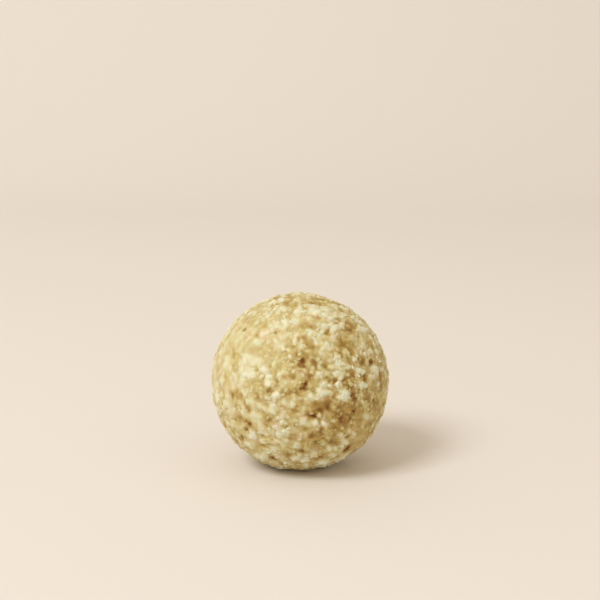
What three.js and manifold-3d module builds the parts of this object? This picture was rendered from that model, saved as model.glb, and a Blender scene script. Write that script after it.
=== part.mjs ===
// A stuffed date ball rolled in chopped nuts.
// One solid: a hand-rolled ball of paste, with the larger nut chips of its coat packed over it.
// Millimetres, +Z up. The origin is under the middle of the small flat spot that the ball rests on.
import * as THREE from "three";
import { ConvexHull } from "three/addons/math/ConvexHull.js";
import { mergeVertices } from "three/addons/utils/BufferGeometryUtils.js";
import Module from "manifold-3d";

const wasm = await Module();
wasm.setup();

// Driving dimensions
const BALL_DIAMETER = 35; // over the nut coat
const REST_SPOT_DIAMETER = 12; // where the soft ball has settled flat
const COAT_DEPTH = 0.95; // from the paste between the chips to the top of the proudest chip
const CHIP_COUNT = 620;

// Shape and lie of a chip
const CHIP_STAND = [0.3, 1]; // height over the paste, as shares of COAT_DEPTH
const CHIP_REACH = [0.56, 0.86]; // from the chip's middle to its corners, as shares of the way to the gap
const CHIP_CROWN = 0.24; // most that a corner lies below the middle of the chip
const CHIP_SLOPE = 0.27; // steepest lean, as rise over run
const CHIP_CROWN_SHIFT = 0.25; // most that the crown lies off the chip's middle, each way
const CHIP_WANDER = 0.6; // most that a chip strays from an even spread, as a share of the spacing

// Unevenness of the paste
const SWELL_HEIGHT = 0.2; // broad swells that rolling by hand leaves
const SWELL_WAVES = 5;
const SWELL_LENGTH = 16; // from crest to crest
const GAP_UNEVENNESS = 0.1; // most that a gap between chips is deeper or shallower than the rest

const BALL_RADIUS = BALL_DIAMETER / 2;
const PASTE_RADIUS = BALL_RADIUS - COAT_DEPTH;
const CENTRE_HEIGHT = Math.sqrt(BALL_RADIUS ** 2 - (REST_SPOT_DIAMETER / 2) ** 2);
const CHIP_SPACING = Math.sqrt((4 * Math.PI) / CHIP_COUNT); // on a sphere of radius 1
const GOLDEN_ANGLE = Math.PI * (3 - Math.sqrt(5));
const UP = new THREE.Vector3(0, 0, 1);

// The draws: one salt for each thing that is drawn, and large steps that scatter the sine between them
const SALT = {
  strayX: 1,
  strayY: 2,
  strayZ: 3,
  stand: 4,
  leanAcross: 5,
  leanAlong: 6,
  crownAcross: 7,
  crownAlong: 8,
  gapDepth: 9,
  firstCornerReach: 20,
  firstCornerDrop: 40,
};
const INDEX_STEP = 12.9898;
const SALT_STEP = 78.233;
const SCATTER = 43758.5453;

const nutCoat = new THREE.MeshStandardMaterial({ color: 0xd2bb82, roughness: 0.62, metalness: 0 });

// A repeatable draw from 0 to 1.
function draw(index, salt) {
  const wave = Math.sin(index * INDEX_STEP + salt * SALT_STEP) * SCATTER;
  return wave - Math.floor(wave);
}

function drawBetween([low, high], index, salt) {
  return low + (high - low) * draw(index, salt);
}

function drawEitherWay(most, index, salt) {
  return drawBetween([-most, most], index, salt);
}

// One of count points spread evenly over a unit sphere, by a spiral of golden angles.
function spiralDirection(index, count) {
  const height = 1 - (2 * index + 1) / count;
  const turn = index * GOLDEN_ANGLE;
  const reach = Math.sqrt(1 - height ** 2);
  return new THREE.Vector3(reach * Math.cos(turn), reach * Math.sin(turn), height);
}

// The way from the ball's centre to a chip: the even spread, with each chip strayed a little.
function chipDirection(index) {
  const most = CHIP_WANDER * CHIP_SPACING;
  const strays = [SALT.strayX, SALT.strayY, SALT.strayZ].map((salt) => drawEitherWay(most, index, salt));
  return spiralDirection(index, CHIP_COUNT).add(new THREE.Vector3(...strays)).normalize();
}

// How far the hand-rolled ball swells out of a true sphere in a direction.
function swellAt(direction) {
  let height = 0;
  for (let wave = 0; wave < SWELL_WAVES; wave++) {
    const along = spiralDirection(wave, SWELL_WAVES).dot(direction) * BALL_RADIUS;
    height += Math.cos((2 * Math.PI * along) / SWELL_LENGTH + wave);
  }
  return (SWELL_HEIGHT * height) / SWELL_WAVES;
}

// The corners of the gap round each chip. They are the middles of the hull's faces, so each gap lies
// halfway between its chips. Each chip gets the faces round it, in order.
function gapsRound(directions) {
  const { faces } = new ConvexHull().setFromPoints(directions);
  const faceNumber = new Map(faces.map((face, number) => [face, number]));
  const edgeFrom = new Map();
  for (const face of faces) {
    for (const edge of [face.edge, face.edge.next, face.edge.prev]) {
      edgeFrom.set(edge.tail().point, edge);
    }
  }
  const rings = directions.map((direction) => {
    const ring = [];
    const first = edgeFrom.get(direction);
    let edge = first;
    do {
      ring.push(faceNumber.get(edge.face));
      edge = edge.prev.twin;
    } while (edge !== first);
    return ring;
  });
  return { corners: faces.map((face) => face.normal.clone()), rings };
}

// The rim and crown of one chip, as points round the ball's centre.
function nutChip(direction, index, gapCorners) {
  const across = new THREE.Vector3().crossVectors(UP, direction).normalize();
  const along = new THREE.Vector3().crossVectors(direction, across);
  const top = PASTE_RADIUS + swellAt(direction) + COAT_DEPTH * drawBetween(CHIP_STAND, index, SALT.stand);
  const most = BALL_RADIUS + swellAt(direction); // rolling presses the chips level
  const leanAcross = drawEitherWay(CHIP_SLOPE, index, SALT.leanAcross);
  const leanAlong = drawEitherWay(CHIP_SLOPE, index, SALT.leanAlong);
  const rim = gapCorners.map((gapCorner, which) => {
    const reach = drawBetween(CHIP_REACH, index, SALT.firstCornerReach + which);
    const corner = direction.clone().lerp(gapCorner, reach).normalize();
    const offset = corner.clone().sub(direction).multiplyScalar(BALL_RADIUS);
    const rise = leanAcross * offset.dot(across) + leanAlong * offset.dot(along);
    const drop = CHIP_CROWN * draw(index, SALT.firstCornerDrop + which);
    return corner.setLength(Math.min(most, top + rise - drop));
  });
  const crown = direction.clone().setLength(top);
  crown.addScaledVector(across, drawEitherWay(CHIP_CROWN_SHIFT, index, SALT.crownAcross));
  crown.addScaledVector(along, drawEitherWay(CHIP_CROWN_SHIFT, index, SALT.crownAlong));
  return { rim, crown };
}

// The whole coat as one closed skin round the ball's centre: for each chip a facetted top, and walls
// down to the corners of the gap round it, which it shares with its neighbours.
function coatSkin() {
  const directions = Array.from({ length: CHIP_COUNT }, (_, index) => chipDirection(index));
  const { corners, rings } = gapsRound(directions);
  const points = corners.map((corner, index) => {
    const height = drawEitherWay(GAP_UNEVENNESS, index, SALT.gapDepth);
    return corner.clone().setLength(PASTE_RADIUS + swellAt(corner) + height);
  });
  const triangles = [];
  directions.forEach((direction, index) => {
    const ring = rings[index];
    const { rim, crown } = nutChip(direction, index, ring.map((number) => corners[number]));
    const firstOfRim = points.push(...rim) - rim.length;
    const crownNumber = points.push(crown) - 1;
    ring.forEach((gap, which) => {
      const next = (which + 1) % ring.length;
      const corner = firstOfRim + which;
      const nextCorner = firstOfRim + next;
      triangles.push(crownNumber, corner, nextCorner);
      triangles.push(corner, gap, ring[next]);
      triangles.push(corner, ring[next], nextCorner);
    });
  });
  return new THREE.BufferGeometry().setFromPoints(points).setIndex(triangles);
}

// What settling takes off the bottom of the ball, so that it rests on a flat spot.
function restCut() {
  const block = new THREE.BoxGeometry(BALL_DIAMETER, BALL_DIAMETER, BALL_DIAMETER);
  block.deleteAttribute("normal");
  block.deleteAttribute("uv");
  return mergeVertices(block).translate(0, 0, -CENTRE_HEIGHT - BALL_RADIUS);
}

function solidFrom(geometry) {
  return new wasm.Manifold(
    new wasm.Mesh({
      numProp: 3,
      vertProperties: geometry.getAttribute("position").array,
      triVerts: new Uint32Array(geometry.index.array),
    }),
  );
}

function geometryFrom(solid) {
  const { vertProperties, triVerts } = solid.getMesh();
  return new THREE.BufferGeometry()
    .setAttribute("position", new THREE.BufferAttribute(vertProperties, 3))
    .setIndex(new THREE.BufferAttribute(triVerts, 1));
}

// The solid stands on z = 0, with its box centred on the origin.
function standOnOrigin(geometry) {
  geometry.computeBoundingBox();
  const middle = geometry.boundingBox.getCenter(new THREE.Vector3());
  return geometry.translate(-middle.x, -middle.y, -geometry.boundingBox.min.z);
}

const settledBall = solidFrom(coatSkin()).subtract(solidFrom(restCut()));
const ball = new THREE.Mesh(standOnOrigin(geometryFrom(settledBall)), nutCoat);
ball.name = "date_ball";

const part = new THREE.Group();
part.add(ball);

export default part;
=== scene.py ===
import math

import bmesh
import bpy
import numpy as np
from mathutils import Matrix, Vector, noise
from mathutils.bvhtree import BVHTree
from mathutils.kdtree import KDTree


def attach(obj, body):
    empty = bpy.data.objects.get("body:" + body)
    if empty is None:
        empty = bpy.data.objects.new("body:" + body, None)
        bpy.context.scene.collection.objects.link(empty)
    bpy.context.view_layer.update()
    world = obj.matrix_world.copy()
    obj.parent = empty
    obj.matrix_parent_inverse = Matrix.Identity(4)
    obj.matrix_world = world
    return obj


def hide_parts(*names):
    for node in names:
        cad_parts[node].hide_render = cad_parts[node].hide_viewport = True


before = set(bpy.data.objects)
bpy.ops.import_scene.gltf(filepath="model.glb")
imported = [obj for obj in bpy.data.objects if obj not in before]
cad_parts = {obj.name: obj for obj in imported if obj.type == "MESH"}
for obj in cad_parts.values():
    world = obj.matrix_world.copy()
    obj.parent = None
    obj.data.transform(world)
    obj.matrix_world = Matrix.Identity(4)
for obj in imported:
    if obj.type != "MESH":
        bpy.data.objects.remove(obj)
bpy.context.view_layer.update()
mm = 0.001

# the ball as the frame has it, in millimetres
ball = {
    "diameter": 35.0,  # over the coat
    "restSpot": 12.0,  # across the flat spot that it stands on
    "swellHeight": 0.2,  # broad swells that rolling by hand leaves
    "swellWaves": 5,
    "swellLength": 16.0,  # from crest to crest
}
ballRadius = ball["diameter"] / 2
centreHeight = math.sqrt(ballRadius**2 - (ball["restSpot"] / 2) ** 2)
ballCentre = np.array([0.0, 0.0, centreHeight])
goldenAngle = math.pi * (3 - math.sqrt(5))

# where the photograph has the ball, in its pixels
photoView = {
    "frame": 600,
    "ballRow": 381.6,  # of the ball's middle, which is in the middle of the frame's width
    "ballHalfWidth": 89.6,
    "crumbDepth": 0.25,  # millimetres that the crumbs seen in it lie below the outside of the coat
    "elevation": 15.0,  # degrees
    "lens": 85.0,  # millimetres
    "sensor": 36.0,
}


def linearColour(hexColour):
    # sRGB hex to the linear values that the shaders take
    parts = [int(hexColour[i : i + 2], 16) / 255 for i in (1, 3, 5)]
    return [p / 12.92 if p <= 0.04045 else ((p + 0.055) / 1.055) ** 2.4 for p in parts] + [1.0]


def unit(vectors):
    return vectors / np.linalg.norm(vectors, axis=-1, keepdims=True)


def spiralWays(count):
    # directions spread evenly round the ball, by a spiral of golden angles
    index = np.arange(count)
    height = 1 - (2 * index + 1) / count
    reach = np.sqrt(1 - height**2)
    turn = index * goldenAngle
    return np.stack([reach * np.cos(turn), reach * np.sin(turn), height], axis=1)


def swellAt(ways):
    along = ways @ spiralWays(ball["swellWaves"]).T * ballRadius
    waves = np.cos(2 * np.pi * along / ball["swellLength"] + np.arange(ball["swellWaves"]))
    return ball["swellHeight"] * waves.mean(axis=1)


def outerRadius(ways):
    # how far out the coat comes: the swelling ball, pressed level where it rests
    leastDown = 1e-6  # keeps level and rising directions clear of a division by 0
    down = np.maximum(-ways[:, 2], leastDown)
    return np.minimum(ballRadius + swellAt(ways), centreHeight / down)


def noiseAt(ways, spacing):
    # smooth noise with lumps about this many millimetres apart
    return np.array([noise.noise(Vector(place)) for place in ways * ballRadius / spacing])


# Camera

camera = bpy.data.objects.new("camera", bpy.data.cameras.new("camera"))
bpy.context.scene.collection.objects.link(camera)
bpy.context.scene.camera = camera
camera.data.lens = photoView["lens"]
camera.data.sensor_width = photoView["sensor"]
camera.data.clip_start = 1 * mm

focalPixels = photoView["frame"] * photoView["lens"] / photoView["sensor"]
viewElevation = math.radians(photoView["elevation"])
viewDistance = ballRadius / math.sin(math.atan(photoView["ballHalfWidth"] / focalPixels))
ballDrop = math.atan((photoView["ballRow"] - photoView["frame"] / 2) / focalPixels)
towardsPhoto = np.array([0, -math.cos(viewElevation), math.sin(viewElevation)])
cameraPlace = ballCentre + viewDistance * towardsPhoto
camera.location = Vector(cameraPlace * mm)
camera.rotation_euler = (math.pi / 2 - viewElevation + ballDrop, 0, 0)
bpy.context.view_layer.update()
cameraTurn = np.array(camera.matrix_world.to_3x3())


def waysTo(pixels):
    # directions from the ball's centre to what the photograph shows at these pixels
    pixels = np.array(pixels, float).reshape(-1, 2)
    half = photoView["frame"] / 2
    ahead = np.full(len(pixels), -focalPixels)
    rays = np.stack([pixels[:, 0] - half, half - pixels[:, 1], ahead], axis=1)
    rays = unit(rays) @ cameraTurn.T
    toCentre = ballCentre - cameraPlace
    along = rays @ toCentre
    missSquared = toCentre @ toCentre - along**2
    surface = ballRadius - photoView["crumbDepth"]
    hit = along - np.sqrt(np.maximum(surface**2 - missSquared, 0))
    return unit(cameraPlace + rays * hit[:, None] - ballCentre)


print("camera set", round(viewDistance), "mm from the ball")


# Materials


def addNode(tree, kind, settings=None, links=None):
    # one node, with its settings by property or socket, and what its sockets are linked from
    node = tree.nodes.new(kind)
    for key, value in (settings or {}).items():
        if key == "stops":
            ramp = node.color_ramp
            while len(ramp.elements) < len(value):
                ramp.elements.new(0.5)
            for element, (position, hexColour) in zip(ramp.elements, value):
                element.position = position
                element.color = linearColour(hexColour)
        elif isinstance(key, str) and hasattr(node, key):
            setattr(node, key, value)
        else:
            node.inputs[key].default_value = value
    for key, source in (links or {}).items():
        tree.links.new(source, node.inputs[key])
    return node


def newMaterial(name):
    material = bpy.data.materials.new(name)
    material.use_nodes = True
    tree = material.node_tree
    tree.nodes.clear()
    return material, tree


mixFactor, mixA, mixB, mixResult = 0, 6, 7, 2  # sockets of a Mix node that mixes colours
noiseLow, noiseHigh = 0.3, 0.7  # most of what a noise texture gives lies between these


def nutCoat(name, finish):
    # Chopped blanched kernels in moist date paste: matt cream cut faces that let a little light in,
    # each crumb with its own tone, and golden ochre paste that stains them towards their roots
    material, tree = newMaterial(name)
    place = addNode(tree, "ShaderNodeTexCoord").outputs["Object"]
    tone = addNode(tree, "ShaderNodeAttribute", {"attribute_name": "tone"}).outputs["Fac"]
    depth = addNode(tree, "ShaderNodeAttribute", {"attribute_name": "depth"}).outputs["Fac"]
    mottle = addNode(
        tree,
        "ShaderNodeTexNoise",
        {"Scale": 1 / (finish["mottleSize"] * mm), "Detail": 3.0, "Roughness": 0.6},
        {"Vector": place},
    ).outputs["Fac"]
    mottled = addNode(
        tree,
        "ShaderNodeMapRange",
        {
            "From Min": noiseLow,
            "From Max": noiseHigh,
            "To Min": -finish["mottle"],
            "To Max": finish["mottle"],
        },
        {"Value": mottle},
    ).outputs["Result"]
    kernelShade = addNode(tree, "ShaderNodeMath", {"operation": "ADD"}, {0: tone, 1: mottled}).outputs[0]
    kernel = addNode(
        tree,
        "ShaderNodeValToRGB",
        {"stops": finish["kernel"]},
        {"Fac": kernelShade},
    ).outputs["Color"]
    streak = addNode(
        tree,
        "ShaderNodeTexNoise",
        {
            "Scale": 1 / (finish["streakSize"] * mm),
            "Detail": 4.0,
            "Roughness": 0.6,
            "Distortion": 0.5,
        },
        {"Vector": place},
    ).outputs["Fac"]
    streaked = addNode(
        tree,
        "ShaderNodeMapRange",
        {
            "From Min": noiseLow,
            "From Max": noiseHigh,
            "To Min": -finish["streak"],
            "To Max": finish["streak"],
        },
        {"Value": streak},
    ).outputs["Result"]
    pasteShade = addNode(tree, "ShaderNodeMath", {"operation": "ADD"}, {0: tone, 1: streaked}).outputs[0]
    paste = addNode(
        tree,
        "ShaderNodeValToRGB",
        {"stops": finish["paste"]},
        {"Fac": pasteShade},
    ).outputs["Color"]
    soakEdge = addNode(
        tree,
        "ShaderNodeMath",
        {"operation": "MULTIPLY_ADD", 1: finish["soakRagged"]},
        {0: mottle, 2: depth},
    ).outputs[0]
    soak = addNode(
        tree,
        "ShaderNodeMapRange",
        {
            "interpolation_type": "SMOOTHSTEP",
            "From Min": finish["soakFrom"],
            "From Max": finish["soakTo"],
            "To Min": 0.0,
            "To Max": finish["soakMost"],
        },
        {"Value": soakEdge},
    ).outputs["Result"]
    colour = addNode(
        tree,
        "ShaderNodeMix",
        {"data_type": "RGBA"},
        {mixFactor: soak, mixA: kernel, mixB: paste},
    ).outputs[mixResult]
    tintShade = addNode(
        tree,
        "ShaderNodeTexNoise",
        {"Scale": 1 / (finish["tintSize"] * mm), "Detail": 2.0, "Roughness": 0.6},
        {"Vector": place},
    ).outputs["Fac"]
    tint = addNode(
        tree,
        "ShaderNodeValToRGB",
        {"stops": finish["tint"]},
        {"Fac": tintShade},
    ).outputs["Color"]
    colour = addNode(
        tree,
        "ShaderNodeMix",
        {"data_type": "RGBA", "blend_type": "MULTIPLY", mixFactor: 1.0},
        {mixA: colour, mixB: tint},
    ).outputs[mixResult]
    grain = addNode(
        tree,
        "ShaderNodeTexNoise",
        {"Scale": 1 / (finish["grainSize"] * mm), "Detail": 2.0},
        {"Vector": place},
    ).outputs["Fac"]
    rough = addNode(
        tree,
        "ShaderNodeMapRange",
        {
            "From Min": 0.0,
            "From Max": 1.0,
            "To Min": finish["kernelRough"],
            "To Max": finish["pasteRough"],
        },
        {"Value": soak},
    ).outputs["Result"]
    bump = addNode(
        tree,
        "ShaderNodeBump",
        {"Strength": finish["grainStrength"], "Distance": finish["grainHeight"] * mm},
        {"Height": grain},
    ).outputs["Normal"]
    shader = addNode(
        tree,
        "ShaderNodeBsdfPrincipled",
        {
            "IOR": 1.46,
            "Specular IOR Level": 0.25,
            "Subsurface Weight": finish["subsurface"],
            "Subsurface Radius": (1.0, 0.75, 0.4),
            "Subsurface Scale": finish["subsurfaceReach"] * mm,
        },
        {"Base Color": colour, "Roughness": rough, "Normal": bump},
    ).outputs["BSDF"]
    addNode(tree, "ShaderNodeOutputMaterial", None, {"Surface": shader})
    return material


def kernelSkin(finish):
    # Thin brown skin of the kernels and shreds of date: dark red-brown, slightly shiny, wrinkled
    material, tree = newMaterial("kernelSkin")
    place = addNode(tree, "ShaderNodeTexCoord").outputs["Object"]
    tone = addNode(tree, "ShaderNodeAttribute", {"attribute_name": "tone"}).outputs["Fac"]
    colour = addNode(
        tree,
        "ShaderNodeValToRGB",
        {"stops": finish["skin"]},
        {"Fac": tone},
    ).outputs["Color"]
    wrinkle = addNode(
        tree,
        "ShaderNodeTexNoise",
        {"Scale": 1 / (finish["wrinkleSize"] * mm), "Detail": 3.0},
        {"Vector": place},
    ).outputs["Fac"]
    rough = addNode(
        tree,
        "ShaderNodeMapRange",
        {
            "From Min": noiseLow,
            "From Max": noiseHigh,
            "To Min": finish["shinyRough"],
            "To Max": finish["dullRough"],
        },
        {"Value": wrinkle},
    ).outputs["Result"]
    bump = addNode(
        tree,
        "ShaderNodeBump",
        {"Strength": finish["wrinkleStrength"], "Distance": finish["wrinkleHeight"] * mm},
        {"Height": wrinkle},
    ).outputs["Normal"]
    shader = addNode(
        tree,
        "ShaderNodeBsdfPrincipled",
        {"IOR": 1.48, "Specular IOR Level": 0.25},
        {"Base Color": colour, "Roughness": rough, "Normal": bump},
    ).outputs["BSDF"]
    addNode(tree, "ShaderNodeOutputMaterial", None, {"Surface": shader})
    return material


# sizes, heights and depths in millimetres, the colours from the darkest tone to the palest
coatFinish = {
    "kernel": [
        (0.0, "#A67E38"),
        (0.25, "#C7AD66"),
        (0.5, "#D9CE9A"),
        (0.75, "#E2DFBE"),
        (1.0, "#E9E8D2"),
    ],
    "paste": [
        (0.0, "#7A4418"),
        (0.12, "#916C33"),
        (0.4, "#B19453"),
        (0.65, "#C8B174"),
        (1.0, "#DACEA1"),
    ],
    "tint": [(0.3, "#F9FFFA"), (0.7, "#FFF6FA")],  # a shade greener here and pinker there
    "tintSize": 1.3,
    "mottle": 0.15,  # how far the kernels' tone strays
    "mottleSize": 0.7,
    "streak": 0.2,  # how far the paste's tone strays
    "streakSize": 3.2,
    "soakFrom": 0.25,  # depths below the outside of the coat, from where paste stains the crumbs
    "soakTo": 0.7,  # to where the stain is full
    "soakRagged": 0.25,
    "soakMost": 1.0,
    "kernelRough": 0.62,
    "pasteRough": 0.5,
    "grainSize": 0.3,
    "grainHeight": 0.06,
    "grainStrength": 0.3,
    "subsurface": 0.6,
    "subsurfaceReach": 1.0,
}
skinFinish = {
    "skin": [(0.0, "#7F461B"), (0.45, "#925D2E"), (0.8, "#B08048"), (1.0, "#C09858")],
    "shinyRough": 0.4,
    "dullRough": 0.65,
    "wrinkleSize": 0.3,
    "wrinkleHeight": 0.05,
    "wrinkleStrength": 0.4,
}
pasteMaterial = nutCoat("nutsInDatePaste", coatFinish)
kernelMaterial = nutCoat("choppedKernel", {**coatFinish, "soakMost": 0.85, "subsurface": 0.0})
skinMaterial = kernelSkin(skinFinish)
print("materials made")


# What the photograph shows of the coat

# broad patches, as pixel x, pixel y, radius in millimetres, how much paler and how much looser; the
# paler values are partly the coat's own uneven colour and partly painted light and shade, paler to the
# upper left and darker to the lower right
toneAndShadePatches = [
    (240, 340, 7.0, 0.03, -0.5),
    (249, 362, 2.0, 0.08, -0.1),
    (240, 405, 6.0, 0.05, -0.3),
    (274, 420, 5.0, 0.06, 0.0),
    (213, 385, 4.0, 0.07, -0.4),
    (293, 324, 5.0, 0.03, -0.25),
    (304, 372, 4.5, -0.03, 0.1),
    (352, 335, 7.0, 0.03, 0.15),
    (350, 375, 5.0, 0.02, 0.4),
    (345, 417, 4.5, -0.14, 0.2),
    (328, 438, 4.5, -0.12, 0.2),
    (376, 405, 5.0, -0.15, 0.2),
    (366, 440, 5.0, -0.15, 0.2),
]
# clumps of pale crumbs, as pixel x, pixel y, radius in millimetres and how far they stand out
seenClumps = [
    (334, 330, 0.9, 1.1),
    (324, 327, 0.85, 0.7),
    (320, 335, 0.7, 0.7),
    (312, 333, 0.8, 0.9),
    (316, 339, 0.6, 0.6),
    (327, 344, 1.1, 1.0),
    (331, 348, 0.6, 0.8),
    (353, 337, 0.8, 0.8),
    (365, 329, 0.8, 0.9),
    (363, 345, 1.0, 0.5),
    (377, 341, 0.7, 1.0),
    (381, 352, 0.5, 0.6),
    (371, 352, 0.6, 0.6),
    (321, 363, 0.65, 0.8),
    (330, 361, 0.7, 0.5),
    (340, 362, 1.0, 0.6),
    (348, 366, 0.65, 1.0),
    (359, 371, 0.9, 1.2),
    (321, 374, 0.75, 0.9),
    (329, 373, 0.8, 0.9),
    (337, 373, 0.8, 0.9),
    (344, 372, 0.7, 0.8),
    (373, 370, 1.0, 1.0),
    (374, 377, 0.9, 0.8),
    (368, 364, 0.5, 0.6),
    (324, 384, 0.8, 0.9),
    (330, 386, 0.45, 1.1),
    (336, 385, 0.5, 0.5),
    (321, 395, 1.0, 1.1),
    (327, 392, 0.8, 1.1),
    (344, 393, 0.9, 1.1),
    (343, 398, 0.8, 1.0),
    (356, 385, 0.9, 0.5),
    (364, 386, 0.7, 0.8),
    (362, 397, 0.7, 0.6),
    (363, 402, 0.6, 0.8),
    (384, 379, 0.5, 0.5),
    (312, 397, 1.0, 0.9),
    (307, 400, 0.6, 0.8),
    (303, 407, 0.7, 0.6),
    (303, 413, 0.7, 0.6),
    (304, 421, 0.9, 1.0),
    (334, 408, 0.6, 0.7),
    (336, 402, 0.5, 0.6),
    (326, 413, 0.5, 0.8),
    (319, 416, 0.45, 0.8),
    (334, 421, 0.55, 0.8),
    (325, 424, 0.65, 1.7),
    (315, 424, 0.6, 1.4),
    (317, 429, 0.5, 1.1),
    (367, 416, 0.7, 0.8),
    (341, 436, 0.7, 1.1),
    (345, 442, 0.8, 1.3),
    (349, 431, 0.6, 0.7),
    (354, 434, 0.6, 0.6),
    (323, 444, 0.75, 1.0),
    (330, 449, 0.7, 1.1),
    (331, 455, 0.8, 1.1),
    (336, 448, 0.6, 0.9),
    (342, 447, 0.5, 0.9),
    (314, 453, 0.9, 0.7),
    (306, 458, 0.7, 1.2),
    (323, 463, 1.0, 1.4),
    (305, 466, 0.6, 0.9),
    (306, 434, 0.6, 0.6),
    (301, 438, 0.5, 0.6),
    (306, 446, 0.6, 0.5),
    (276, 396, 0.85, 0.85),
    (227, 404, 1.2, 0.9),
    (226, 396, 0.9, 0.8),
    (215, 384, 1.2, 0.8),
    (215, 396, 0.9, 0.8),
    (228, 412, 1.0, 0.8),
    (274, 405, 0.7, 0.8),
    (284, 402, 0.7, 0.6),
    (293, 404, 0.7, 0.6),
    (295, 399, 0.7, 0.5),
    (254, 406, 0.8, 0.8),
    (253, 414, 0.9, 0.9),
    (256, 421, 0.9, 0.8),
    (233, 426, 0.8, 0.7),
    (276, 427, 0.9, 1.0),
    (278, 434, 0.7, 0.9),
    (285, 434, 0.7, 0.8),
    (251, 436, 1.0, 1.3),
    (246, 443, 0.8, 0.9),
    (264, 456, 0.9, 1.1),
    (295, 446, 0.7, 1.5),
    (282, 417, 0.8, 0.7),
    (301, 424, 0.8, 0.7),
    (299, 457, 0.7, 0.8),
    (274, 449, 0.8, 0.6),
    (275, 442, 0.6, 0.5),
    (244, 426, 0.5, 0.5),
    (262, 429, 0.9, 0.5),
    (285, 444, 0.6, 0.4),
    (257, 343, 0.9, 0.8),
    (264, 334, 1.0, 0.8),
    (242, 362, 1.0, 0.6),
    (249, 360, 1.1, 0.8),
    (257, 361, 0.9, 0.8),
    (248, 368, 0.8, 0.8),
    (220, 353, 1.0, 0.9),
    (244, 375, 0.9, 0.9),
    (252, 375, 0.8, 1.0),
    (266, 371, 1.0, 0.9),
    (270, 377, 0.7, 1.1),
    (227, 366, 1.0, 0.6),
    (235, 384, 1.0, 0.6),
    (285, 383, 0.9, 0.5),
    (246, 392, 0.7, 0.7),
    (299, 298, 0.6, 0.45),
    (300, 306, 0.8, 0.45),
    (296, 313, 0.9, 0.8),
    (311, 311, 0.9, 1.1),
    (318, 312, 0.8, 1.1),
    (286, 321, 0.9, 1.0),
    (295, 323, 0.9, 1.1),
    (283, 339, 0.9, 0.7),
    (295, 342, 0.6, 0.7),
    (302, 345, 0.8, 0.9),
    (316, 342, 0.6, 0.7),
    (290, 357, 0.4, 0.8),
    (265, 366, 0.7, 0.7),
    (275, 344, 0.8, 0.5),
    (326, 308, 0.9, 0.8),
    (336, 305, 0.7, 0.6),
    (336, 313, 0.9, 0.7),
    (331, 319, 0.7, 0.9),
    (343, 316, 0.7, 0.8),
    (343, 324, 0.7, 0.9),
    (353, 317, 0.6, 0.7),
    (361, 321, 0.9, 0.9),
    (260, 308, 1.0, 0.6),
    (328, 312, 0.7, 0.6),
    (307, 364, 0.7, 0.4),
    (324, 356, 0.4, 0.7),
]
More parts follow.
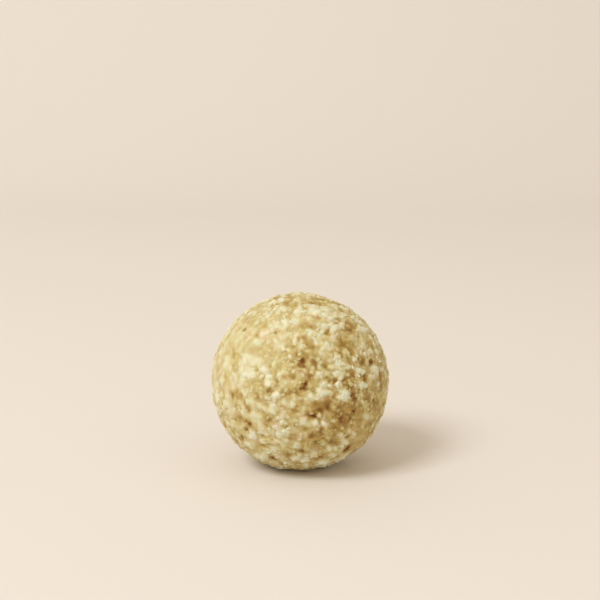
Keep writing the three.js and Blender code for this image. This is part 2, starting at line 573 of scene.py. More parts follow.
# hollows between them, where the paste shows, as pixel x, pixel y, radius in millimetres and depth
seenHollows = [
    (344, 345, 1.3, 0.7),
    (340, 340, 0.7, 0.5),
    (352, 331, 0.8, 0.8),
    (342, 310, 0.8, 0.6),
    (349, 323, 0.8, 0.7),
    (355, 327, 0.6, 0.6),
    (337, 323, 0.4, 1.0),
    (342, 329, 0.5, 0.6),
    (347, 332, 0.7, 0.4),
    (349, 360, 0.6, 0.8),
    (327, 366, 0.7, 0.7),
    (316, 365, 0.6, 0.6),
    (374, 348, 0.5, 0.7),
    (382, 364, 0.6, 0.8),
    (354, 376, 0.8, 0.7),
    (338, 379, 0.8, 0.8),
    (328, 379, 0.6, 0.6),
    (345, 379, 0.6, 0.7),
    (365, 376, 0.6, 0.8),
    (350, 388, 0.6, 0.7),
    (367, 391, 0.4, 0.8),
    (374, 399, 0.4, 0.9),
    (334, 389, 0.5, 0.7),
    (381, 374, 0.5, 0.7),
    (334, 397, 0.4, 0.7),
    (350, 351, 0.7, 0.4),
    (316, 404, 0.7, 0.9),
    (318, 410, 0.7, 0.8),
    (310, 417, 0.8, 1.0),
    (354, 411, 0.35, 0.8),
    (371, 424, 0.5, 0.8),
    (365, 432, 0.5, 0.5),
    (306, 429, 0.6, 0.9),
    (311, 436, 0.7, 0.8),
    (316, 442, 0.45, 0.9),
    (336, 443, 0.6, 0.8),
    (322, 457, 0.8, 1.0),
    (317, 460, 0.5, 0.8),
    (302, 452, 0.6, 0.9),
    (335, 430, 0.7, 0.4),
    (320, 431, 0.5, 0.6),
    (320, 420, 0.35, 0.7),
    (232, 394, 0.9, 1.4),
    (241, 396, 0.6, 1.2),
    (236, 391, 0.7, 0.9),
    (237, 398, 0.6, 0.9),
    (236, 406, 0.7, 0.6),
    (248, 408, 0.7, 1.3),
    (245, 403, 0.4, 1.0),
    (249, 412, 0.6, 1.1),
    (240, 418, 0.9, 0.9),
    (235, 420, 0.5, 1.1),
    (246, 422, 0.7, 1.0),
    (246, 430, 0.6, 0.9),
    (241.5, 438, 0.7, 1.0),
    (264, 413, 0.4, 0.8),
    (267, 420, 1.0, 0.7),
    (266, 427, 0.7, 0.5),
    (263, 437, 0.5, 0.7),
    (263, 446, 0.6, 0.8),
    (287, 428, 0.5, 0.8),
    (292, 437, 0.7, 0.6),
    (294, 410, 0.6, 0.8),
    (273, 459, 0.7, 1.0),
    (288, 456, 0.8, 0.7),
    (257, 397, 0.6, 0.6),
    (269, 391, 0.7, 0.5),
    (256, 333.5, 0.7, 1.0),
    (265, 325, 0.9, 0.6),
    (233.5, 355, 0.7, 1.0),
    (233, 349, 0.5, 0.5),
    (225, 376, 0.8, 0.7),
    (223, 385, 0.4, 0.8),
    (258, 373, 0.5, 1.1),
    (270, 366, 0.4, 0.5),
    (277, 383, 0.7, 0.4),
    (284, 376, 0.5, 0.8),
    (313, 302, 0.6, 0.8),
    (320, 303, 0.6, 0.5),
    (287, 303, 1.2, 0.5),
    (292, 297, 0.4, 0.5),
    (305, 325, 0.9, 0.8),
    (311, 327, 0.4, 0.7),
    (318, 316, 0.6, 0.8),
    (299, 339, 0.4, 0.9),
    (304, 339, 0.35, 0.8),
    (295, 345.5, 0.6, 1.0),
    (308, 345, 0.5, 0.8),
    (313, 347, 0.6, 0.7),
    (314, 360, 0.7, 0.7),
    (327, 333, 0.5, 0.8),
    (293, 377, 0.5, 0.8),
    (310, 376, 0.7, 0.8),
    (286, 394, 0.7, 0.8),
    (297, 393, 0.6, 0.8),
    (315, 393, 0.5, 0.9),
]
# pits with brown skin or date in them, as pixel x, pixel y, radius in millimetres and how dark
seenPits = [
    (302.5, 360.5, 0.55, 1.4),
    (299.5, 365.5, 0.4, 0.7),
    (304, 366, 0.35, 0.6),
    (296.5, 354, 0.4, 0.6),
    (305.5, 384, 0.5, 1.3),
    (304.5, 388.5, 0.5, 1.3),
    (301, 389, 0.3, 0.7),
    (315, 416, 0.45, 1.1),
    (328, 406, 1.1, 0.7),
    (321, 411, 0.45, 0.7),
    (354, 397.5, 0.8, 0.4),
    (355, 411, 0.3, 0.7),
    (329, 331, 0.5, 0.8),
    (363, 362, 0.75, 1.0),
    (371.5, 362, 0.7, 1.0),
    (349, 448, 0.6, 1.2),
    (346, 451, 0.55, 1.0),
    (249.5, 425, 0.5, 1.2),
    (246, 430, 0.5, 0.6),
    (243.5, 329, 0.5, 1.0),
    (275.5, 332, 0.28, 1.0),
    (302, 452, 0.5, 0.6),
    (273, 459, 0.6, 0.4),
    (366, 380, 0.5, 0.8),
    (346.5, 437.5, 0.45, 1.1),
]
# the coat between and beyond what is listed, each noise as its strength and its spacing in millimetres
coatNoise = {
    "listedClumps": 0.45,  # strength of the clumps that are listed
    "clumps": (1.5, 1.7),
    "edgeClumps": 0.8,  # share of that strength at the edge of what the photograph shows
    "leastClumps": 0.15,  # share where the ball faces the photograph
    "paler": (0.06, 5.0),
    "loose": 0.85,  # how loose the coat is where nothing is listed
    "looser": (0.3, 7.0),
    "looseRange": (0.2, 1.4),
}
strengthColumn, looserColumn = 3, 4  # of the lists above


def waysOf(spots):
    return waysTo([spot[:2] for spot in spots])


def lengthsOf(spots, share):
    # lengths of crumbs at these spots, as a share of the spots' radius
    return np.array([share * spot[2] for spot in spots])


def strengthsOf(spots):
    return np.array([spot[strengthColumn] for spot in spots])


def spotsAt(ways, spots, column=strengthColumn):
    # what soft round spots at these pixels add up to, each with its radius and strength
    total = np.zeros(len(ways))
    for way, spot in zip(waysOf(spots), spots):
        away = np.linalg.norm(ways - way, axis=1) * ballRadius
        total += spot[column] * np.exp(-((away / spot[2]) ** 2))
    return total


def clumpsAt(ways):
    # clumps above 0 and hollows below: those in the photograph, and others like them all round
    strength, spacing = coatNoise["clumps"]
    notListed = np.clip(coatNoise["edgeClumps"] - ways @ towardsPhoto, coatNoise["leastClumps"], 1)
    others = notListed * strength * noiseAt(ways, spacing)
    return coatNoise["listedClumps"] * spotsAt(ways, seenClumps) - spotsAt(ways, seenHollows) + others


def toneAndPaintedShadeAt(ways):
    # the coat's own uneven tone, with painted light and shade from the patches (paler to the upper left,
    # darker to the lower right), plus random noise
    strength, spacing = coatNoise["paler"]
    return spotsAt(ways, toneAndShadePatches) + strength * noiseAt(ways, spacing)


def looserAt(ways):
    # how far the crumbs stand apart, from blended to loose
    strength, spacing = coatNoise["looser"]
    loose = coatNoise["loose"] + spotsAt(ways, toneAndShadePatches, looserColumn) + strength * noiseAt(ways, spacing)
    return np.clip(loose, *coatNoise["looseRange"])


# Placing crumbs


def sideWays(ways, rng):
    # two directions across each of these, turned at random
    side = unit(np.cross(ways, rng.normal(size=ways.shape)))
    return side, np.cross(ways, side)


def packedWays(kind, lengths, takenWays, takenLengths, rng):
    # directions for as many of these lengths as fit between what is there, more of them in the clumps
    ways = np.concatenate([takenWays, np.zeros((len(lengths), 3))])
    taken = np.concatenate([takenLengths, lengths])
    first = filled = len(takenWays)
    tried = unit(rng.normal(size=(kind["tries"], 3)))
    wanted = 1 - kind["gathered"] + kind["gathered"] * clumpsAt(tried) * looserAt(tried)
    for way in tried[rng.random(len(tried)) < wanted]:
        if filled == len(ways):
            break
        away = np.linalg.norm(ways[:filled] - way, axis=1) * ballRadius
        if np.all(away > kind["closeness"] * (taken[:filled] + taken[filled]) / 2):
            ways[filled] = way
            filled += 1
    return ways[first:filled]


def crumbSizes(kind, lengths, rng):
    width = lengths * rng.uniform(*kind["width"], len(lengths))
    thickness = width * rng.uniform(*kind["thickness"], len(lengths))
    return np.stack([lengths, width, thickness], axis=1)


def skewedLengths(kind, count, rng):
    # more short ones than long ones
    low, high = kind["length"]
    return low + (high - low) * rng.random(count) ** kind["skew"]


def standFor(piece):
    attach(piece, "root")
    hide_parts("date_ball")


def setAttribute(piece, name, values):
    layer = piece.data.attributes.new(name, "FLOAT", "POINT")
    layer.data.foreach_set("value", np.asarray(values, np.float32))


def depthOf(points):
    # millimetres below the outside of the coat
    offsets = points - ballCentre
    return outerRadius(unit(offsets)) - np.linalg.norm(offsets, axis=1)


# Paste, with most of the chopped nuts rolled into it

paste = {
    "cuts": 127,  # of each edge of the cube that the ball is rounded from
    "depth": 0.5,  # of the bare paste, below the outside of the coat
    "tone": 0.45,
    "ragged": [(0.3, 0.7), (0.25, 0.35)],  # of the crumbs' edges: how far they stray, and the spacing
    "raggedSeed": 3,  # makes them stray the same way in each run
    "clumpHeight": 0.1,
    "clumpTone": 0.24,
    "pitDepth": 0.2,
    "darkest": 0.14,  # tone outside the pits
    "pitTone": 0.42,
    "grain": [(0.05, 0.5), (0.03, 0.3)],  # of the finest crumbs: height and spacing
    "smoothing": 0.4,  # of the whole surface, from 0 to 1
}
# how the crumbs are pressed in, with lengths as shares of the radius of a clump, hollow or pit
pressing = {
    "clumpLength": 1.8,  # of the crumb at a listed clump
    "freeLength": 1.6,  # kept free of crumbs at a listed hollow or pit
    "steepest": 0.45,  # slant to the view, as a cosine, up to which a listed crumb is stretched
    "edgeProud": 0.9,  # share of the proud ones that is kept at the edge of what the photograph shows
    "leastProud": 0.6,  # share where the ball faces the photograph
    "boxiness": 3,  # of the outline of a crumb: 2 is an oval, more is squarer
    "neighbours": 8,  # crumbs that can show at one place
}
# crumbs packed side by side, and then finer bits: rise and paler are how far they stand over the paste
# and how much paler they are, first of the sunken ones and then of the proud ones, each with its spread
pressedCrumbs = {
    "seed": 19,
    "count": 6000,  # if so many fit
    "tries": 80000,  # places that are tried for them
    "gathered": 0.0,  # how much they keep to the clumps
    "closeness": 0.6,  # least way between two, as a share of their mean length
    "length": (0.75, 1.8),
    "skew": 2.1,  # the larger, the more short ones
    "width": (0.6, 1.0),  # as a share of length
    "proud": 0.32,  # share of them that stands out
    "clumped": 0.6,  # how much more in the clumps
    "patchy": 2.5,  # how much more in the pale patches
    "rise": (0.14, 0.25),
    "riseSpread": 0.07,
    "paler": (0.05, 0.38),
    "palerSpread": 0.1,
    "drop": 0.16,  # from the middle of a crumb to its edge
    "slope": 0.2,  # steepest lean of a crumb's top
    "soft": 0.03,  # how far the heights blend where crumbs meet
    "stain": 0.1,  # how far the tones do
}
pressedBits = {
    "seed": 29,
    "count": 8000,
    "tries": 60000,
    "gathered": 0.0,
    "closeness": 0.62,
    "length": (0.5, 0.9),
    "skew": 1.0,
    "width": (0.65, 1.0),
    "proud": 0.5,
    "clumped": 0.15,
    "patchy": 1.0,
    "rise": (0.03, 0.08),
    "riseSpread": 0.03,
    "paler": (-0.04, 0.08),
    "palerSpread": 0.05,
    "drop": 0.06,
    "slope": 0.1,
    "soft": 0.02,
    "stain": 0.03,
}

bm = bmesh.new()
bmesh.ops.create_cube(bm, size=2.0)
bmesh.ops.subdivide_edges(bm, edges=bm.edges[:], cuts=paste["cuts"], use_grid_fill=True)
bm.verts.index_update()
cubePoints = np.array([v.co for v in bm.verts])
pasteWays = unit(np.tan(cubePoints * math.pi / 4))  # evenly spread over the ball
noise.seed_set(paste["raggedSeed"])


def raggedFrom(ways):
    # places over the ball, each strayed a little, which makes the edges of the crumbs ragged
    places = ways * ballRadius
    for stray, spacing in paste["ragged"]:
        strays = [noise.noise_vector(Vector(place)) for place in ways * ballRadius / spacing]
        places = places + stray * np.array(strays).reshape(-1, 3)
    return places


raggedPlaces = raggedFrom(pasteWays)


def pressIn(kind, listedClumps, listedHollows):
    # one layer of rounded crumbs: how far the highest of them at each place rises, and how pale it is
    listedWays = waysOf(listedClumps)
    clumpWays = unit(raggedFrom(listedWays))
    clumpLengths = lengthsOf(listedClumps, pressing["clumpLength"])
    hollowWays = unit(raggedFrom(waysOf(listedHollows)))
    takenWays = np.vstack([clumpWays, hollowWays])
    takenLengths = np.append(clumpLengths, lengthsOf(listedHollows, pressing["freeLength"]))
    layingRng = np.random.default_rng(kind["seed"])
    lengths = skewedLengths(kind, kind["count"], layingRng)
    ways = np.vstack([clumpWays, packedWays(kind, lengths, takenWays, takenLengths, layingRng)])
    lengths = np.append(clumpLengths, lengths)[: len(ways)]
    rng = np.random.default_rng(kind["seed"] + 1)
    widths = lengths * rng.uniform(*kind["width"], len(ways))
    side, other = sideWays(ways, rng)
    # those in the photograph look round there, so they lie stretched towards the edge of the view
    listed = len(listedWays)
    slant = listedWays @ towardsPhoto
    side[:listed] = unit(clumpWays * (clumpWays @ towardsPhoto)[:, None] - towardsPhoto)
    other[:listed] = np.cross(clumpWays, side[:listed])
    lengths[:listed] /= np.clip(slant, pressing["steepest"], 1)
    notListed = np.clip(pressing["edgeProud"] - ways @ towardsPhoto, pressing["leastProud"], 1)
    chance = (
        kind["proud"] * notListed
        + kind["clumped"] * clumpsAt(ways)
        + kind["patchy"] * toneAndPaintedShadeAt(ways)
    )
    proud = np.where(rng.random(len(ways)) < chance, 1.0, 0.0)
    proud[:listed] = strengthsOf(listedClumps)
    lean = rng.uniform(-kind["slope"], kind["slope"], (2, len(ways)))
    low, high = kind["rise"]
    tops = low + (high - low) * proud + rng.normal(0, kind["riseSpread"], len(ways))
    low, high = kind["paler"]
    tones = low + (high - low) * proud + rng.normal(0, kind["palerSpread"], len(ways))
    middles = KDTree(len(ways))
    for index, way in enumerate(ways):
        middles.insert(Vector(way * ballRadius), index)
    middles.balance()
    near = []
    for place in raggedPlaces:
        found = middles.find_n(Vector(place), pressing["neighbours"])
        near.append([index for _, index, _ in found])
    near = np.array(near)
    offsets = raggedPlaces[:, None] - ways[near] * ballRadius
    along = np.einsum("nki,nki->nk", offsets, side[near])
    across = np.einsum("nki,nki->nk", offsets, other[near])
    power = pressing["boxiness"]
    reach = np.abs(2 * along / lengths[near]) ** power + np.abs(2 * across / widths[near]) ** power
    rises = tops[near] + lean[0, near] * along + lean[1, near] * across - kind["drop"] * reach
    rises = np.column_stack([rises, np.zeros(len(rises))])  # the bare paste is the last
    palers = np.column_stack([tones[near], np.zeros(len(rises))])
    highest = rises.max(axis=1)
    below = rises - highest[:, None]
    raised = highest + kind["soft"] * np.log(np.exp(below / kind["soft"]).sum(axis=1))
    shares = np.exp(below / kind["stain"])
    print("crumbs pressed in:", len(ways))
    return raised, (shares * palers).sum(axis=1) / shares.sum(axis=1)


clumps = clumpsAt(pasteWays)
pits = spotsAt(pasteWays, seenPits)
looser = looserAt(pasteWays)
relief = paste["clumpHeight"] * clumps * looser - paste["pitDepth"] * pits
# the patches paint light on the upper left and shade on the lower right into this tone, along with the
# coat's own uneven colour
pasteTone = paste["tone"] + toneAndPaintedShadeAt(pasteWays) + paste["clumpTone"] * clumps
pressedLayers = [
    pressIn(pressedCrumbs, seenClumps, seenHollows + seenPits),
    pressIn(pressedBits, [], []),
]
for raised, paler in pressedLayers:
    relief += raised.mean() + looser * (raised - raised.mean())
    pasteTone += paler.mean() + looser * (paler - paler.mean())
pasteTone = np.maximum(pasteTone, paste["darkest"]) - paste["pitTone"] * pits
for height, spacing in paste["grain"]:
    relief += looser * height * noiseAt(pasteWays, spacing)

pasteReach = outerRadius(pasteWays) + np.minimum(relief - paste["depth"], 0)
for vert, place in zip(bm.verts, ballCentre + pasteWays * pasteReach[:, None]):
    vert.co = place * mm
bmesh.ops.smooth_vert(
    bm,
    verts=bm.verts[:],
    factor=paste["smoothing"],
    use_axis_x=True,
    use_axis_y=True,
    use_axis_z=True,
)
for face in bm.faces:
    face.smooth = True
pasteMesh = bpy.data.meshes.new("date_paste")
bm.to_mesh(pasteMesh)
bm.free()
pasteMesh.materials.append(pasteMaterial)
pastePiece = bpy.data.objects.new("date_paste", pasteMesh)
bpy.context.scene.collection.objects.link(pastePiece)
pastePoints = np.array([v.co for v in pasteMesh.vertices]) / mm
pasteFaces = np.array([f.vertices[:] for f in pasteMesh.polygons])
setAttribute(pastePiece, "tone", pasteTone)
setAttribute(pastePiece, "depth", depthOf(pastePoints))


def bakeSides(piece, cubePoints, faces):
    # a UV map with a square for each side of the cube that the ball was rounded from
    columns, rows, inset = 3, 2, 0.01
    middles = cubePoints[faces].mean(axis=1)
    axis = np.abs(middles).argmax(axis=1)
    column = axis / columns
    row = (middles[np.arange(len(faces)), axis] > 0) / rows
    corners = inset + (1 - 2 * inset) * (cubePoints[faces] + 1) / 2
    u = np.choose(axis[:, None], [corners[..., 1], corners[..., 0], corners[..., 0]]) / columns
    v = np.choose(axis[:, None], [corners[..., 2], corners[..., 2], corners[..., 1]]) / rows
    layer = piece.data.uv_layers.new(name="OFBake")
    places = np.stack([u + column[:, None], v + row[:, None]], axis=2)
    layer.uv.foreach_set("vector", places.astype(np.float32).ravel())


bakeSides(pastePiece, cubePoints, pasteFaces)
standFor(pastePiece)
print("paste made:", len(pasteFaces), "faces")


# Loose crumbs


def crumbShape(rng, kind):
    # a crumb in a unit box: a rough lump that has cracked along a few flat breaks
    bm = bmesh.new()
    bmesh.ops.create_icosphere(bm, subdivisions=kind["fineness"], radius=0.5)
    for vert in bm.verts:
        vert.co *= rng.uniform(*kind["lumpy"])
    for _ in range(kind["breaks"]):
        normal = unit(rng.normal(size=3))
        cut = bmesh.ops.bisect_plane(
            bm,
            geom=bm.verts[:] + bm.edges[:] + bm.faces[:],
            dist=1e-4,
            plane_co=normal * rng.uniform(*kind["cracked"]),
            plane_no=normal,
            clear_outer=True,
        )
        rim = [part for part in cut["geom_cut"] if isinstance(part, bmesh.types.BMEdge)]
        if rim:
            bmesh.ops.contextual_create(bm, geom=rim)
    bmesh.ops.recalc_face_normals(bm, faces=bm.faces[:])
    bmesh.ops.triangulate(bm, faces=bm.faces[:])
    bm.verts.index_update()
    points = np.array([v.co for v in bm.verts])
    triangles = np.array([[v.index for v in f.verts] for f in bm.faces])
    bm.free()
    low, high = points.min(axis=0), points.max(axis=0)
    return (points - (low + high) / 2) / (high - low), triangles


def layCrumbs(name, kind, ways, tops, sizes, tones, material):
    # copies of a few crumb shapes in one mesh, each with its highest point at its own radius
    rng = np.random.default_rng(kind["seed"])
    shapes = [crumbShape(rng, kind) for _ in range(kind["shapes"])]
    shapeOf = rng.integers(kind["shapes"], size=len(ways))
    side, other = sideWays(ways, rng)
    lean = np.radians(rng.uniform(-kind["tilt"], kind["tilt"], len(ways)))[:, None]
    leaned = np.cos(lean) * other + np.sin(lean) * ways
    upward = np.cos(lean) * ways - np.sin(lean) * other
    axes = np.stack([side, leaned, upward], axis=1)
    points, triangles, across, crumbOfPoint, crumbOfFace = [], [], [], [], []
    made = 0
    for number, (shapePoints, shapeTriangles) in enumerate(shapes):
        chosen = np.flatnonzero(shapeOf == number)
        offsets = np.einsum("nki,nij->nkj", shapePoints[None] * sizes[chosen][:, None], axes[chosen])
        height = np.einsum("nki,ni->nk", offsets, ways[chosen])
        middles = ballCentre + ways[chosen] * (tops[chosen] - height.max(axis=1))[:, None]
        flatSide = np.einsum("nki,ni->nk", offsets, side[chosen])
        flatOther = np.einsum("nki,ni->nk", offsets, other[chosen])
        flat = np.stack([flatSide, flatOther], axis=2)
        low, high = flat.min(axis=1, keepdims=True), flat.max(axis=1, keepdims=True)
        starts = made + np.arange(len(chosen)) * len(shapePoints)
        points.append((middles[:, None] + offsets).reshape(-1, 3))
        across.append(((flat - low) / (high - low)).reshape(-1, 2))
        triangles.append((shapeTriangles[None] + starts[:, None, None]).reshape(-1, 3))
        crumbOfPoint.append(np.repeat(chosen, len(shapePoints)))
        crumbOfFace.append(np.repeat(chosen, len(shapeTriangles)))
        made += len(chosen) * len(shapePoints)
    points = np.concatenate(points)
    triangles = np.concatenate(triangles)
    across = np.concatenate(across)
    crumbOfPoint = np.concatenate(crumbOfPoint)
    crumbOfFace = np.concatenate(crumbOfFace)
    points[:, 2] = np.maximum(points[:, 2], 0)  # pressed level where the ball rests
    mesh = bpy.data.meshes.new(name)
    mesh.from_pydata((points * mm).tolist(), [], triangles.tolist())
    mesh.polygons.foreach_set("use_smooth", np.full(len(triangles), kind["rubbed"]))
    mesh.materials.append(material)
    mesh.update()
    piece = bpy.data.objects.new(name, mesh)
    bpy.context.scene.collection.objects.link(piece)
    setAttribute(piece, "tone", tones[crumbOfPoint])
    setAttribute(piece, "depth", depthOf(points))
    bakeCells(piece, points, triangles, across, crumbOfFace, ways)
    standFor(piece)
    print(name, "laid:", len(ways), "pieces,", len(triangles), "triangles")
    return points, triangles


def bakeCells(piece, points, triangles, across, crumbOfFace, ways):
    # a UV map with a square for each crumb: its outer side at the left, its hidden side at the right
    outerShare, inset = 0.7, 0.05
    squares = math.ceil(math.sqrt(len(ways)))
    corners = points[triangles]
    facing = np.cross(corners[:, 1] - corners[:, 0], corners[:, 2] - corners[:, 0])
    facesOut = np.einsum("ni,ni->n", facing, ways[crumbOfFace]) > 0
    left = np.where(facesOut, 0, outerShare)[:, None]
    width = np.where(facesOut, outerShare, 1 - outerShare)[:, None]
    inside = inset + (1 - 2 * inset) * across[triangles]
    u = (crumbOfFace % squares)[:, None] + left + width * inside[..., 0]
    v = (crumbOfFace // squares)[:, None] + inside[..., 1]
    layer = piece.data.uv_layers.new(name="OFBake")
    layer.uv.foreach_set("vector", (np.stack([u, v], axis=2) / squares).astype(np.float32).ravel())


def surfaceOf(layers):
    # the coat so far, for finer things to lie on
    points, faces, made = [], [], 0
    for layerPoints, layerFaces in layers:
        points += layerPoints.tolist()
        faces += (layerFaces + made).tolist()
        made += len(layerPoints)
    return BVHTree.FromPolygons(points, faces)


def surfaceRadius(surface, ways):
    start = 2 * ballRadius
    radii = []
    for way in ways:
        _, _, _, distance = surface.ray_cast(Vector(ballCentre + way * start), Vector(-way))
        radii.append(start - distance)
    return np.array(radii)


coat = [(pastePoints, pasteFaces)]
palestTone = 0.9  # of the loose crumbs
pitWays = waysOf(seenPits)
pitLengths = lengthsOf(seenPits, pressing["freeLength"])
pasteTree = KDTree(len(pasteWays))
for index, way in enumerate(pasteWays):
    pasteTree.insert(Vector(way), index)
pasteTree.balance()


def crumbTones(ways, paler, rng):
    # near that of the coat round them, or a little paler
    around = np.array([pasteTone[pasteTree.find(Vector(way))[1]] for way in ways])
    return np.minimum(around + rng.normal(*paler, len(ways)), palestTone)


def crumbTops(ways, sizes, stand, rng):
    # how far out they reach: a share of their thickness stands over what they lie on
    ground = surfaceRadius(surfaceOf(coat), ways)
    turnedAway = 1 - np.clip(ways @ towardsPhoto, 0, 1)
    stands = sizes[:, 2] * rng.uniform(*stand, len(ways)) * looserAt(ways) * (1 + turnedAway)
    return np.minimum(ground + stands, outerRadius(ways))


def layNuts(name, kind, ways, lengths, rng):
    # nut pieces of one kind, laid on the coat so far, which they then belong to
    sizes = crumbSizes(kind, lengths, rng)
    tops = crumbTops(ways, sizes, kind["stand"], rng)
    tones = crumbTones(ways, kind["paler"], rng)
    coat.append(layCrumbs(name, kind, ways, tops, sizes, tones, kernelMaterial))


# Chips, on the listed clumps and strewn between them
chips = {
    "seed": 11,
    "count": 150,  # beside those at the listed clumps
    "tries": 8000,
    "gathered": 0.6,
    "closeness": 1.0,
    "fineness": 1,  # how often the lump is subdivided that a shape is broken from
    "lumpy": (0.8, 1.15),  # how far its points stray
    "breaks": 3,
    "cracked": (0.2, 0.38),  # from the middle to a break, as a share of the size
    "rubbed": False,  # their edges
    "shapes": 14,
    "tilt": 25,  # degrees
    "length": (1.0, 1.6),  # mm
    "seenLength": 1.1,  # at a listed clump, as a share of its radius
    "skew": 1.6,
    "width": (0.6, 0.95),  # as a share of length
    "thickness": (0.5, 0.8),  # as a share of width
    "stand": (0.05, 0.18),  # share of the thickness that shows
    "paler": (0.0, 0.05),  # than the coat round them: mean and spread
}
rng = np.random.default_rng(chips["seed"])
seenWays = waysOf(seenClumps)
seenLengths = lengthsOf(seenClumps, chips["seenLength"])
strayLengths = skewedLengths(chips, chips["count"], rng)
strayWays = packedWays(chips, strayLengths, seenWays, seenLengths, rng)
chipWays = np.vstack([seenWays, strayWays])
chipLengths = np.append(seenLengths, strayLengths[: len(strayWays)])
layNuts("nut_chips", chips, chipWays, chipLengths, rng)

# Crumbs between the chips
crumbs = {
    "seed": 23,
    "count": 1800,
    "tries": 30000,
    "gathered": 0.5,
    "closeness": 0.65,
    "fineness": 1,
    "lumpy": (0.75, 1.15),
    "breaks": 4,
    "cracked": (0.12, 0.32),
    "rubbed": False,
    "shapes": 24,
    "tilt": 35,
    "length": (0.9, 1.7),
    "skew": 1.6,
    "width": (0.65, 1.0),
    "thickness": (0.6, 0.95),
    "stand": (0.07, 0.22),
    "paler": (0.04, 0.06),
    "chipRoom": 0.8,  # kept free for a chip, as a share of its length
}
rng = np.random.default_rng(crumbs["seed"])
crumbLengths = skewedLengths(crumbs, crumbs["count"], rng)
takenWays = np.vstack([chipWays, pitWays])
takenLengths = np.append(chipLengths * crumbs["chipRoom"], pitLengths)
crumbWays = packedWays(crumbs, crumbLengths, takenWays, takenLengths, rng)
layNuts("nut_crumbs", crumbs, crumbWays, crumbLengths[: len(crumbWays)], rng)

# Bits, chopped finer, that cling to the clumps
bits = {
    "seed": 37,
    "count": 300,
    "tries": 8000,
    "gathered": 1.0,
    "closeness": 0.9,
    "fineness": 1,
    "lumpy": (0.8, 1.2),
    "breaks": 1,
    "cracked": (0.2, 0.38),
    "rubbed": True,
    "shapes": 12,
    "tilt": 60,
    "length": (0.35, 0.7),
    "skew": 1.3,
    "width": (0.65, 1.0),
    "thickness": (0.7, 1.0),
    "stand": (0.05, 0.2),
    "paler": (0.03, 0.06),
}
rng = np.random.default_rng(bits["seed"])
bitLengths = skewedLengths(bits, bits["count"], rng)
bitWays = packedWays(bits, bitLengths, pitWays, pitLengths, rng)
layNuts("nut_bits", bits, bitWays, bitLengths[: len(bitWays)], rng)

# Flecks of brown skin and date
flecks = {
    "seed": 71,
    "count": 45,
    "fineness": 2,
    "lumpy": (0.8, 1.2),
    "breaks": 3,
    "cracked": (0.2, 0.38),
    "rubbed": True,
    "shapes": 8,
    "tilt": 30,
    "length": (0.4, 0.9),
    "skew": 1.5,
    "width": (0.5, 0.9),
    "thickness": (0.35, 0.6),
    "stand": (0.1, 0.25),
    "strayTone": (0.4, 1.0),
    "strayFrom": 0.3,  # cosine to the photograph's view, below which the strays lie
    "pitLength": 1.1,  # in a listed pit, as a share of its radius
    "pitTone": 1.2,  # less how dark the pit is
}
rng = np.random.default_rng(flecks["seed"])
strayWays = unit(rng.normal(size=(flecks["count"], 3)))
strayWays = strayWays[strayWays @ towardsPhoto < flecks["strayFrom"]]
fleckWays = np.vstack([pitWays, strayWays])
strayLengths = skewedLengths(flecks, len(strayWays), rng)
fleckLengths = np.append(lengthsOf(seenPits, flecks["pitLength"]), strayLengths)
fleckSizes = crumbSizes(flecks, fleckLengths, rng)
fleckTops = crumbTops(fleckWays, fleckSizes, flecks["stand"], rng)
strayTones = rng.uniform(*flecks["strayTone"], len(strayWays))
fleckTones = np.append(flecks["pitTone"] - strengthsOf(seenPits), strayTones)
layCrumbs("skin_flecks", flecks, fleckWays, fleckTops, fleckSizes, fleckTones, skinMaterial)


# Stage and light

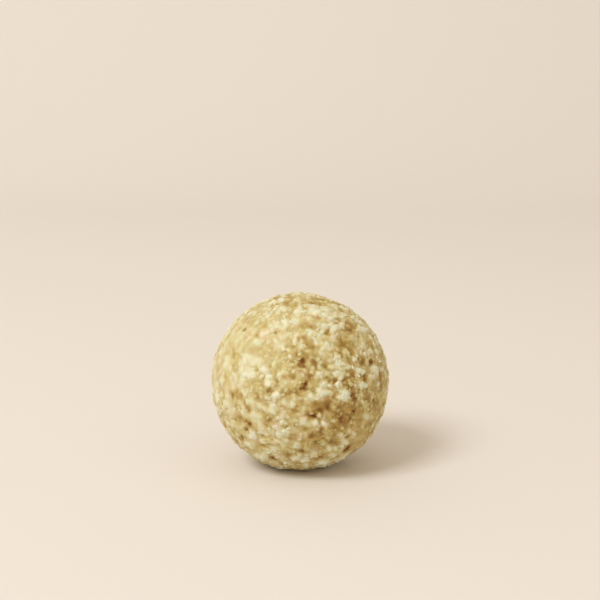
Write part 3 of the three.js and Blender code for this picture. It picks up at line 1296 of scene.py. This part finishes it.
# a sheet under the ball that bends up behind it, in metres
stage = {
    "front": -2.0,
    "back": 0.35,
    "bend": 0.25,
    "bendSteps": 24,
    "height": 1.6,
    "halfWidth": 2.0,
    "colour": "#E6E0DC",
    "roughness": 0.85,
}
bm = bmesh.new()
start = bm.verts.new((-stage["halfWidth"], stage["front"], 0))
floorEdge = bmesh.ops.extrude_vert_indiv(bm, verts=[start])
floorEnd = floorEdge["verts"][0]
floorEnd.co.y = stage["back"]
bend = bmesh.ops.spin(
    bm,
    geom=[floorEnd],
    cent=(-stage["halfWidth"], stage["back"], stage["bend"]),
    axis=(1, 0, 0),
    angle=math.pi / 2,
    steps=stage["bendSteps"],
)
bendEnd = [part for part in bend["geom_last"] if isinstance(part, bmesh.types.BMVert)]
backEdge = bmesh.ops.extrude_vert_indiv(bm, verts=bendEnd)
backEdge["verts"][0].co.z = stage["height"]
sheet = bmesh.ops.extrude_edge_only(bm, edges=bm.edges[:])
farVerts = [part for part in sheet["geom"] if isinstance(part, bmesh.types.BMVert)]
bmesh.ops.translate(bm, verts=farVerts, vec=(2 * stage["halfWidth"], 0, 0))
bmesh.ops.recalc_face_normals(bm, faces=bm.faces[:])
for face in bm.faces:
    face.smooth = True
stageMesh = bpy.data.meshes.new("stage")
bm.to_mesh(stageMesh)
bm.free()
stagePaint, stageTree = newMaterial("stagePaint")
stageShader = addNode(
    stageTree,
    "ShaderNodeBsdfPrincipled",
    {"Base Color": linearColour(stage["colour"]), "Roughness": stage["roughness"]},
)
addNode(stageTree, "ShaderNodeOutputMaterial", None, {"Surface": stageShader.outputs["BSDF"]})
stageMesh.materials.append(stagePaint)
stageSheet = bpy.data.objects.new("stage", stageMesh)
bpy.context.scene.collection.objects.link(stageSheet)

# one soft light from the upper left in front, with place and size in millimetres and power in watts
keyLight = {
    "place": (-590, -570, 900),
    "size": 450,
    "power": 7.8,
    "colour": "#FBFFFF",
}
lamp = bpy.data.lights.new("key", "AREA")
lamp.size = keyLight["size"] * mm
lamp.energy = keyLight["power"]
lamp.color = linearColour(keyLight["colour"])[:3]
lampObject = bpy.data.objects.new("key", lamp)
bpy.context.scene.collection.objects.link(lampObject)
lampObject.location = Vector(keyLight["place"]) * mm
aim = Vector(ballCentre * mm) - lampObject.location
lampObject.rotation_euler = aim.to_track_quat("-Z", "Y").to_euler()

# even light from all round
skyLight = {
    "colour": "#FFF2DA",
    "strength": 0.72,
}
sky = bpy.data.worlds.new("sky")
bpy.context.scene.world = sky
sky.use_nodes = True
background = sky.node_tree.nodes["Background"]
background.inputs["Color"].default_value = linearColour(skyLight["colour"])
background.inputs["Strength"].default_value = skyLight["strength"]
bpy.context.scene.view_settings.view_transform = "Standard"
print("stage and light set")
